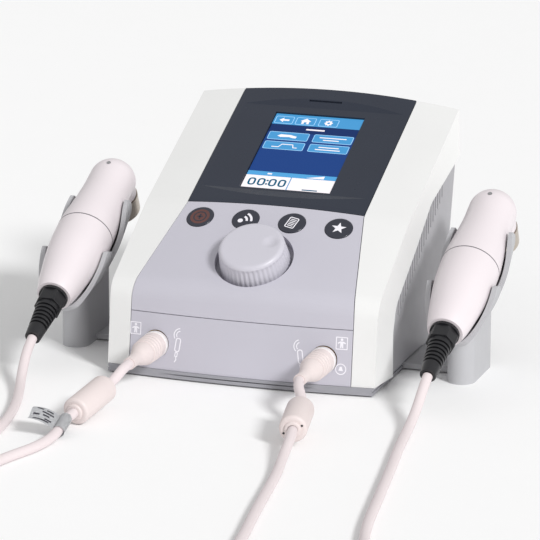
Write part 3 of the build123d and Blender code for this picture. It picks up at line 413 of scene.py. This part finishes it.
def add_studio():
    """Pale floor, white surroundings, a soft key light from the right and a fill light from the left."""
    build = bmesh.new()
    bmesh.ops.create_grid(build, x_segments=1, y_segments=1, size=FLOOR_HALF)
    mesh = bpy.data.meshes.new("floor")
    build.to_mesh(mesh)
    build.free()
    floor = bpy.data.objects.new("floor", mesh)
    SCENE.collection.objects.link(floor)
    mesh.materials.append(make_material("floor", (0.97, 0.97, 0.97), 0.8, 0.002, bump=0.0))
    world = bpy.data.worlds.new("studio")
    world.use_nodes = True
    world.node_tree.nodes["Background"].inputs["Color"].default_value = (1, 1, 1, 1)
    world.node_tree.nodes["Background"].inputs["Strength"].default_value = SURROUND_STRENGTH
    SCENE.world = world
    sun = bpy.data.lights.new("key_light", "SUN")
    sun.energy = KEY_STRENGTH
    sun.angle = KEY_ANGLE
    lamp = bpy.data.objects.new("key_light", sun)
    SCENE.collection.objects.link(lamp)
    lamp.rotation_euler = Vector(KEY_RUN).to_track_quat("-Z", "Y").to_euler()
    add_soft_light("fill_light", (-1.7, -1.5, 1.1), (0, 0, 0.05), 1.6, 3)
    SCENE.view_settings.view_transform = "Standard"


# ---- cords ---------------------------------------------------------------------------------------

def coil_points(name):
    """Control points of a coil of two layers, from where the lead comes in to where it leaves."""
    cx, cy = COIL_CENTRE[name]
    inner, outer = COIL_TURN_R[name]
    turn_way = COIL_DIRECTION[name]
    pitch = 2 * CORD_R
    x_in, y_in, low = HAND_ROUTE[name][-1]
    x_out, y_out, top = LEAD_ROUTE[name][0]
    start = atan2(y_in - cy, x_in - cx)
    end = atan2(y_out - cy, x_out - cx)
    total = COIL_WHOLE_TURNS + ((end - start) * turn_way / (2 * pi)) % 1.0
    layer = (outer - inner) / pitch
    rise = total - 2 * layer
    steps = round(total * COIL_STEPS)
    points = []
    for i in range(1, steps):
        done = total * i / steps
        if done < layer:
            radius, z = outer - pitch * done, CORD_R
        elif done < layer + rise:
            share = (done - layer) / rise
            radius, z = inner, CORD_R + pitch * share ** 2 * (3 - 2 * share)
        else:
            radius, z = inner + pitch * (done - layer - rise), 3 * CORD_R
        radius /= cos(pi / COIL_STEPS)
        turn = start + turn_way * 2 * pi * done
        points.append((cx + radius * cos(turn), cy + radius * sin(turn), z))
    return points


def smooth_line(name, points):
    """Points along one NURBS curve with these control points."""
    curve = bpy.data.curves.new(name + "_line", "CURVE")
    curve.dimensions = "3D"
    curve.resolution_u = 7
    spline = curve.splines.new("NURBS")
    spline.points.add(len(points) - 1)
    for target, point in zip(spline.points, points):
        target.co = (*at(*point), 1.0)
    spline.order_u = 3
    spline.use_endpoint_u = True
    holder = bpy.data.objects.new(name + "_line", curve)
    SCENE.collection.objects.link(holder)
    bpy.context.view_layer.update()
    mesh = bpy.data.meshes.new_from_object(holder)
    line = [vertex.co.copy() for vertex in mesh.vertices]
    bpy.data.objects.remove(holder)
    bpy.data.meshes.remove(mesh)
    return line


def add_tube(name, line, radius, look, sides=16):
    """Round tube along a line of points in the row frame, with closed ends."""
    build = bmesh.new()
    count = len(line)
    side = Vector((0, 0, 1))
    rings = []
    for i, point in enumerate(line):
        ahead = (line[min(count - 1, i + 1)] - line[max(0, i - 1)]).normalized()
        side = (side - ahead * side.dot(ahead)).normalized()
        other = ahead.cross(side)
        ring = []
        for k in range(sides):
            turn = 2 * pi * k / sides
            offset = (side * cos(turn) + other * sin(turn)) * radius
            ring.append(build.verts.new((point + offset) / MM))
        rings.append(ring)
    for one, following in zip(rings, rings[1:]):
        join_loops(build, one, following)
    build.faces.new(rings[0])
    build.faces.new(rings[-1])
    return add_piece(name, build, look, None, sharp=60)


def between(near, far):
    """Place at near with z towards far."""
    near, far = at(*near), at(*far)
    turn = (far - near).to_track_quat("Z", "Y").to_matrix().to_4x4()
    return Matrix.Translation(near) @ turn


def add_ferrite(name):
    """Ferrite sleeve in its moulded jacket: a shoulder and a short lip at each end."""
    near, far = PLUG_ROUTE[name][0], LEAD_ROUTE[name][-1]
    length = (Vector(far) - Vector(near)).length
    round_r, lip = 1.9, 1.2
    end = [(CORD_R + 0.05, 0.0), (4.0, 0.0), (4.4, 0.3), (4.5, lip), (FERRITE_R - round_r, lip)]
    for i in range(1, 6):
        turn = radians(18 * i)
        end.append((FERRITE_R - round_r + round_r * sin(turn), lip + round_r - round_r * cos(turn)))
    profile = end + [(r, length - z) for r, z in reversed(end)]
    piece = add_piece("ferrite_jacket_" + name, lathe(profile, 56), LOOKS["plug_cream"],
                      "console", between(near, far), sharp=50)
    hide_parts("ferrite_" + name)
    return piece


def add_ferrite_pins(name, turn):
    """Two small dark discs in the end of a ferrite's jacket, either side of the lead."""
    out, radius = 5.3, 0.62
    near, far = PLUG_ROUTE[name][0], LEAD_ROUTE[name][-1]
    place = between(far, near) @ Matrix.Rotation(radians(turn), 4, "Z")
    discs = [circle(-out, 0, radius, 16), circle(out, 0, radius, 16)]
    add_piece("ferrite_pins_" + name, relief(discs, 1.1, 1.17), LOOKS["gland_black"],
              "console", place)


def add_plug_grip(side, name):
    """Raised bands of a moulded plug: a collar at the panel and finger ridges further out."""
    place = frame_of(at(side * SOCKET_X, PLUG_FACE_Y, SOCKET_Z), (1, 0, 0), (0, -1, 0))
    collar = [(PLUG_R - 0.6, -0.2), (PLUG_R + 0.12, -0.2), (PLUG_R + 0.3, 0.1), (PLUG_R + 0.3, 2.6),
              (PLUG_R + 0.1, 2.9), (PLUG_R - 0.6, 2.9)]
    add_piece("plug_collar_" + name, lathe(collar, 72), PLUG_COLLAR, "console", place)
    first, pitch, width, height = 8.0, 3.2, 1.3, 0.32
    for i in range(4):
        z, r = first + pitch * i, 7.05 - 0.11 * i
        ridge = [(r - 0.5, z), (r + 0.02, z), (r + height, z + 0.35), (r + height, z + 0.95),
                 (r, z + width), (r - 0.5, z + width)]
        add_piece(f"plug_ridge_{name}_{i + 1}", lathe(ridge, 72), LOOKS["plug_cream"],
                  "console", place)


def add_cord(name):
    """Whole lead of one handpiece, from its gland through the coil and the ferrite to the plug."""
    points = HAND_ROUTE[name] + coil_points(name) + LEAD_ROUTE[name] + PLUG_ROUTE[name]
    line = smooth_line("lead_" + name, points)
    cord = add_tube("lead_" + name, line, CORD_R * MM, LOOKS["lead_cream"])
    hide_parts("cord_hand_" + name, "coil_" + name, "cord_lead_" + name, "cord_plug_" + name)
    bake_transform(cord)


LABEL_W, LABEL_ROWS = 16.0, 24
LABEL_WRAP_R, LABEL_REACH = 3.25, 13.4
WRAP_STEPS, FLAG_STEPS = 24, 16
# Lines of marks: first and last row along the lead, first and last place in the label's section.
LABEL_MARKS = ((3, 5, 27, 31), (7, 9, 26, 33), (11, 13, 28, 32), (3, 5, 33, 37), (12, 14, 34, 38),
               (16, 18, 26, 30), (19, 21, 27, 37))


def label_section():
    """Section of the paper label: most of the way round the lead, then out to the edge of its flag."""
    section = []
    for i in range(WRAP_STEPS + 1):
        turn = radians(330 - 300 * i / WRAP_STEPS)
        section.append((LABEL_WRAP_R * cos(turn), LABEL_WRAP_R * sin(turn)))
    for i in range(1, FLAG_STEPS + 1):
        share = i / FLAG_STEPS
        section.append((LABEL_WRAP_R + LABEL_REACH * share, 1.6 + 5.0 * share + 1.3 * sin(pi * share)))
    return section


def label_patch(first, last, left, right, lift):
    """Part of the label's surface between two rows and two places in its section, lifted off it."""
    a, b = at(*LEAD_ROUTE["left"][-2]), at(*LEAD_ROUTE["left"][-3])
    run = (b - a).normalized()
    out = (Vector((-1, 0, 0)) - run * -run.x).normalized()
    up = Vector((0, 0, 1)) - run * run.z
    up = (up - out * up.dot(out)).normalized()
    start = a / MM - run * 2.0
    section = label_section()
    build = bmesh.new()
    grid = []
    for k in range(first, last + 1):
        along = k / LABEL_ROWS
        row = []
        for i in range(left, right + 1):
            x, z = section[i]
            flag = max(0, i - WRAP_STEPS) / FLAG_STEPS
            twist = flag * (along - 0.5) * 1.2 + flag ** 2 * 1.1 * sin(2 * pi * along)
            spot = start + run * (LABEL_W * along) + out * x + up * (z + twist + lift)
            row.append(build.verts.new(spot))
        grid.append(row)
    for one, other in zip(grid, grid[1:]):
        for i in range(len(one) - 1):
            build.faces.new((one[i], one[i + 1], other[i + 1], other[i]))
    return build


def add_label():
    """Paper label folded round the left lead, its flag standing out to the side, with lines of marks."""
    sheet = label_patch(0, LABEL_ROWS, 0, WRAP_STEPS + FLAG_STEPS, 0.0)
    bmesh.ops.solidify(sheet, geom=sheet.faces, thickness=0.2)
    label = add_piece("lead_label", sheet, LOOKS["paper"], "console", sharp=60)
    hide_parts("label_flag")
    marks = bmesh.new()
    for place in LABEL_MARKS:
        mark = label_patch(*place, 0.16)
        bmesh.ops.solidify(mark, geom=mark.faces, thickness=0.05)
        mesh = bpy.data.meshes.new("mark")
        mark.to_mesh(mesh)
        marks.from_mesh(mesh)
        mark.free()
        bpy.data.meshes.remove(mesh)
    add_piece("lead_label_marks", marks, PRINT_DARK, "console", sharp=60)
    return label


# ---- console details -----------------------------------------------------------------------------

GLASS_TOP = -(CROWN_R - sqrt(CROWN_R ** 2 - FLAT_HALF ** 2)) - 1.0
SCREEN_PLACE = slope_frame(BEZEL_FOLD, REAR_TOP, 0.0, SCREEN_S[0])
SCREEN_EDGE = 0.35                # unlit edge round the picture
SCREEN_LIFT = 0.02                # of the picture's lowest layer over the glass
FIELD, MIDDLE, FRONT = 0.03, 0.06, 0.09         # heights of the picture's layers
SCREEN_TILES = [(-25.0, -1.0, 46.6, 54.0), (1.8, 25.3, 46.6, 54.0), (-25.0, -1.0, 37.6, 44.9),
                (1.8, 25.3, 37.6, 44.9)]
SCREEN_KEYS = [(-25.4, -14.4, 61.9, 68.8), (-13.0, -1.2, 61.9, 68.8), (0.9, 12.4, 61.9, 68.8)]
DIGIT_X, DIGIT_Y = (-23.6, -18.0, -11.4, -5.8), (3.4, 10.1)
DIGIT_W, DIGIT_LINE = 4.5, 1.15
COLON_X, COLON_Y = -12.45, (8.3, 5.1)


def gear_sign(x, y, teeth=8):
    """Toothed ring with a hole."""
    outer = []
    for i in range(4 * teeth):
        radius = 2.5 if i % 4 < 2 else 1.9
        turn = 2 * pi * i / (4 * teeth)
        outer.append((x + radius * cos(turn), y + radius * sin(turn)))
    hole = []
    for i in range(4 * teeth):
        turn = 2 * pi * i / (4 * teeth)
        hole.append((x + 0.8 * cos(turn), y + 0.8 * sin(turn)))
    return outer, hole


def screen_signs():
    """White signs of the display: on its keys and tiles, bars for wording, and a rising wedge."""
    arrow = [(-22.9, 65.3), (-20.4, 67.3), (-20.4, 66.0), (-17.0, 66.0), (-17.0, 64.6), (-20.4, 64.6),
             (-20.4, 63.3)]
    home = [(-10.3, 65.4), (-7.1, 68.0), (-3.9, 65.4), (-4.9, 65.4), (-4.9, 62.9), (-6.3, 62.9),
            (-6.3, 64.6), (-7.9, 64.6), (-7.9, 62.9), (-9.3, 62.9), (-9.3, 65.4)]
    step = stroke([(-20.0, 39.9), (-16.0, 39.9), (-14.4, 42.6), (-8.0, 42.6), (-7.2, 39.9),
                   (-5.0, 39.9)], 0.7)
    hand = [(-19.6, 50.2), (-17.8, 51.7), (-12.0, 51.6), (-8.0, 50.4), (-8.4, 48.7), (-10.4, 48.9),
            (-12.4, 49.6), (-17.6, 49.2)]
    words = [bar(5.4, 21.4, 50.9, 51.7), bar(8.0, 17.4, 48.7, 49.5), bar(7.4, 19.4, 41.9, 42.7),
             bar(5.8, 20.6, 39.7, 40.5), bar(-4.6, 6.4, 57.2, 58.4)]
    battery = bar(-14.4, -11.8, 14.0, 15.2)
    wedge = [(8.6, 13.3), (19.0, 13.3), (19.0, 15.9)]
    return [arrow, home, gear_sign(6.6, 65.3), step, hand, *words, battery, wedge]


def add_screen():
    """The display's picture as thin layers on the glass, u from its middle, v from its lower edge."""
    half, top = SCREEN_HALF - SCREEN_EDGE, SCREEN_S[1] - SCREEN_S[0] - SCREEN_EDGE
    low = SCREEN_EDGE
    base = GLASS_TOP + SCREEN_LIFT

    def faces(boxes):
        return [rounded(b[0] + 0.4, b[1] - 0.4, b[2] + 0.4, b[3] - 0.4, 0.6) for b in boxes]

    digits = [frame_ring(x, x + DIGIT_W, *DIGIT_Y, 2.0, DIGIT_LINE) for x in DIGIT_X]
    digits += [circle(COLON_X, y, 0.7, 12) for y in COLON_Y]
    layers = {
        "screen_bar": ("bar", [bar(-half, half, 61.2, top)], FIELD),
        "screen_title": ("deep", [bar(-half, half, 54.0, 61.1)], FIELD),
        "screen_field": ("navy", [bar(-half, half, 16.6, 53.9)], FIELD),
        "screen_strip": ("strip", [bar(-half, half, 12.7, 16.5)], FIELD),
        "screen_foot": ("white", [bar(-half, 0.1, low, 12.6), bar(0.7, half, low, 12.6)], FIELD),
        "screen_frames": ("outline", [frame_ring(*box, 1.0, 0.4) for box in SCREEN_TILES + SCREEN_KEYS],
                          FRONT),
        "screen_faces": ("bar", faces(SCREEN_TILES), MIDDLE),
        "screen_keys": ("bar", faces(SCREEN_KEYS), MIDDLE),
        "screen_signs": ("white", screen_signs(), FRONT),
        "screen_digits": ("teal", [*digits, bar(9.4, 18.4, 1.9, 2.8)], FRONT),
        "screen_rule": ("bar", [bar(0.15, 0.65, low, 12.6)], MIDDLE),
    }
    for name, (look, outlines, height) in layers.items():
        add_piece(name, relief(outlines, base, base + height), SCREEN_LOOKS[look], "console",
                  SCREEN_PLACE)


def dial_rings():
    """Outline of the dial as (radius, height, rib depth), from its bore to the middle of its top."""
    foot_r, edge_r, round_r, rib_depth = 19.9, 18.5, 2.6, 0.5
    edge = DIAL_TOP - round_r
    inner_r = edge_r - round_r
    rings = [(SHAFT_BORE_R, SHAFT_BORE_TOP, 0.0), (SHAFT_BORE_R, DIAL_LOW, 0.0),
             (foot_r - 0.7, DIAL_LOW, 0.0)]
    for i in range(9):
        share = i / 8
        height = DIAL_LOW + 0.2 + (edge - 0.8 - DIAL_LOW) * share
        rings.append((foot_r + (edge_r - foot_r) * share, height, rib_depth))
    for i in range(9):
        turn = radians(11.25 * i)
        depth = rib_depth / 2 if i == 0 else 0.0
        rings.append((inner_r + round_r * cos(turn), edge + round_r * sin(turn), depth))
    for i in range(1, 20):
        rings.append((inner_r * (1 - i / 20), DIAL_TOP, 0.0))
    return rings


def add_dial():
    """Ribbed dial with a rounded edge and a shallow finger dimple."""
    dimple_r, dimple_depth, dimple_out, dimple_turn = 5.2, 1.0, 11.0, radians(20)
    dimple_x, dimple_y = dimple_out * cos(dimple_turn), dimple_out * sin(dimple_turn)
    steps = DIAL_RIBS * 6
    build = bmesh.new()
    loops = []
    for radius, z, depth in dial_rings():
        loop = []
        for i in range(steps):
            turn = 2 * pi * i / steps
            r = radius - depth * (0.5 + 0.5 * cos(DIAL_RIBS * turn))
            x, y = r * cos(turn), r * sin(turn)
            away = sqrt((x - dimple_x) ** 2 + (y - dimple_y) ** 2)
            dip = 0.0
            if z > DIAL_TOP - 0.01:
                dip = dimple_depth * max(0.0, 1 - (away / dimple_r) ** 2) ** 2
            loop.append(build.verts.new((x, y, z - dip)))
        loops.append(loop)
    for one, other in zip(loops, loops[1:]):
        join_loops(build, one, other)
    build.faces.new(loops[0])
    build.faces.new(loops[-1])
    piece = add_piece("dial_cap", build, LOOKS["dial_lavender"], "output_dial",
                      slope_frame(KEY_FOLD, BEZEL_FOLD, 0.0, DIAL_S), sharp=40)
    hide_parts("dial")


def key_signs():
    """Outlines of each key's sign, from the key's centre."""
    stop = [(circle(0, 0, 3.9, 32), circle(0, 0, 3.2, 32)), bar(-1.6, 1.6, -0.5, 0.5),
            bar(-0.5, 0.5, -1.9, 1.9)]
    waves = [circle(-2.6, -1.6, 1.5, 24)]
    for radius in (3.7, 6.3):
        waves.append(stroke(arc(-2.6, -1.6, radius, 0, 62, 12), 1.3))
    page_frame = frame_ring(-2.9, 2.9, -4.1, 4.1, 0.9, 0.6)
    lines = [bar(-1.7, 1.7, y - 0.28, y + 0.28) for y in (-2.4, -1.2, 0.0, 1.2, 2.4)]
    star = []
    for i in range(10):
        radius = 4.3 if i % 2 == 0 else 1.75
        turn = radians(90 + 36 * i)
        star.append((radius * cos(turn), radius * sin(turn)))
    return {"stop_key": stop, "output_key": waves, "list_key": [page_frame, *lines], "star_key": [star]}


def add_key_signs():
    """Signs on the keys; the stop key's is dark on a red-brown field, the list key's stands askew."""
    signs = key_signs()
    for body, x in BUTTONS:
        place = slope_frame(KEY_FOLD, BEZEL_FOLD, x, BUTTON_S)
        place = place @ Matrix.Translation((0, 0, BUTTON_PROUD * MM))
        look = PRINT_WHITE
        if body == "list_key":
            place = place @ Matrix.Rotation(radians(-14), 4, "Z")
        if body == "stop_key":
            look = LOOKS["key_navy"]
            add_print("sign_field_" + body, [circle(0, 0, 5.6, 40)], PRINT_RUST, body, place,
                      -0.05, 0.03)
        add_print("sign_" + body, signs[body], look, body, place, -0.05, 0.08)


def add_panel_prints():
    """Signs beside the sockets: a framed figure outside, an applicator inside, and a round mark."""
    figure = [frame_ring(-3.3, 3.3, -3.5, 3.5, 0.3, 0.5), circle(0, 2.0, 0.75, 16),
              [(-0.9, 1.0), (0.9, 1.0), (2.3, 0.2), (2.0, -0.4), (0.8, 0.1), (0.9, -2.6), (0.2, -2.6),
               (0.0, -0.9), (-0.2, -2.6), (-0.9, -2.6), (-0.8, 0.1), (-2.0, -0.4), (-2.3, 0.2)]]
    applicator = [frame_ring(-1.6, 1.6, -3.6, 4.4, 1.4, 0.6),
                  stroke(arc(0.6, 6.0, 2.2, 100, 220, 8), 0.55),
                  stroke(arc(0.6, 6.0, 3.7, 100, 220, 8), 0.55),
                  frame_ring(-0.9, 0.9, -6.4, -3.7, 0.4, 0.5),
                  stroke([(0, -6.4), (0.4, -7.8), (-0.3, -9.4)], 0.6)]
    mark = [(circle(0, 0, 3.1, 28), circle(0, 0, 2.6, 28)),
            [(-1.3, -0.9), (1.3, -0.9), (0.5, 1.4), (-0.5, 1.4)]]
    for side, name, spot in ((-1, "left", (-60.8, 21.6)), (1, "right", (58.0, 23.8))):
        place = slope_frame(FRONT_FOOT, KEY_FOLD, *spot)
        add_print("figure_" + name, figure, PRINT_WHITE, "console", place)
        place = slope_frame(FRONT_FOOT, KEY_FOLD, side * 35.4, 14.2)
        place = place @ Matrix.Rotation(radians(8 * side), 4, "Z")
        add_print("applicator_" + name, applicator, PRINT_WHITE, "console", place)
    place = slope_frame(FRONT_FOOT, KEY_FOLD, 58.0, 9.6)
    add_print("round_mark", mark, PRINT_WHITE, "console", place)


def hand_frame(side):
    """Place at the nose of a handpiece, z along its axis, y down and back."""
    tilt = radians(REST_ANGLE)
    return frame_of(at(side * HOLDER_X, *NOSE), (1, 0, 0), (0, cos(tilt), sin(tilt)))


def add_hand_seams():
    """Seal that fills the joint between grip and head."""
    inner, outer, half = SEAM_R - 1.6, SEAM_R + 0.04, 0.32
    profile = [(inner, SEAM_AT - half), (outer, SEAM_AT - half), (outer, SEAM_AT + half),
               (inner, SEAM_AT + half)]
    for side, name in ((-1, "left"), (1, "right")):
        add_piece("seam_" + name, lathe(profile, 96), SEAM_DARK, "handpiece_" + name,
                  hand_frame(side))


def rear_frame(x, z):
    """Place on the rear wall, x to the left as seen from the front, y up, z out of the wall."""
    tilt = radians(REAR_TILT)
    y = REAR_TOP[0] - (REAR_TOP[1] - z) * tan(tilt)
    return frame_of(at(x, y, z), (-1, 0, 0), (0, cos(tilt), -sin(tilt)))


def add_rear_prints():
    """Generic markings of the rear wall: lines on the type plate and a sign by the earth stud."""
    lines = []
    for i, reach in enumerate((32, 26, 34, 20, 30, 24)):
        lines.append(bar(-18, -18 + reach, 8.6 - 3.2 * i, 9.6 - 3.2 * i))
    add_print("plate_lines", lines, PRINT_DARK, "console", rear_frame(46, 38), 0.3, 0.46)
    sign = [(circle(0, 0, 2.4, 28), circle(0, 0, 2.0, 28)), bar(-0.2, 0.2, -1.2, 1.2),
            bar(-1.2, 1.2, -0.2, 0.2)]
    add_print("stud_sign", sign, PRINT_DARK, "console", rear_frame(8, 46))


add_camera()
add_studio()
label = add_label()
ferrites = {name: add_ferrite(name) for name in ("left", "right")}
add_ferrite_pins("right", -25)
for plug_side, plug_name in ((-1, "left"), (1, "right")):
    add_plug_grip(plug_side, plug_name)
add_cord("left")
add_cord("right")
add_screen()
add_dial()
add_key_signs()
add_panel_prints()
add_hand_seams()
add_rear_prints()
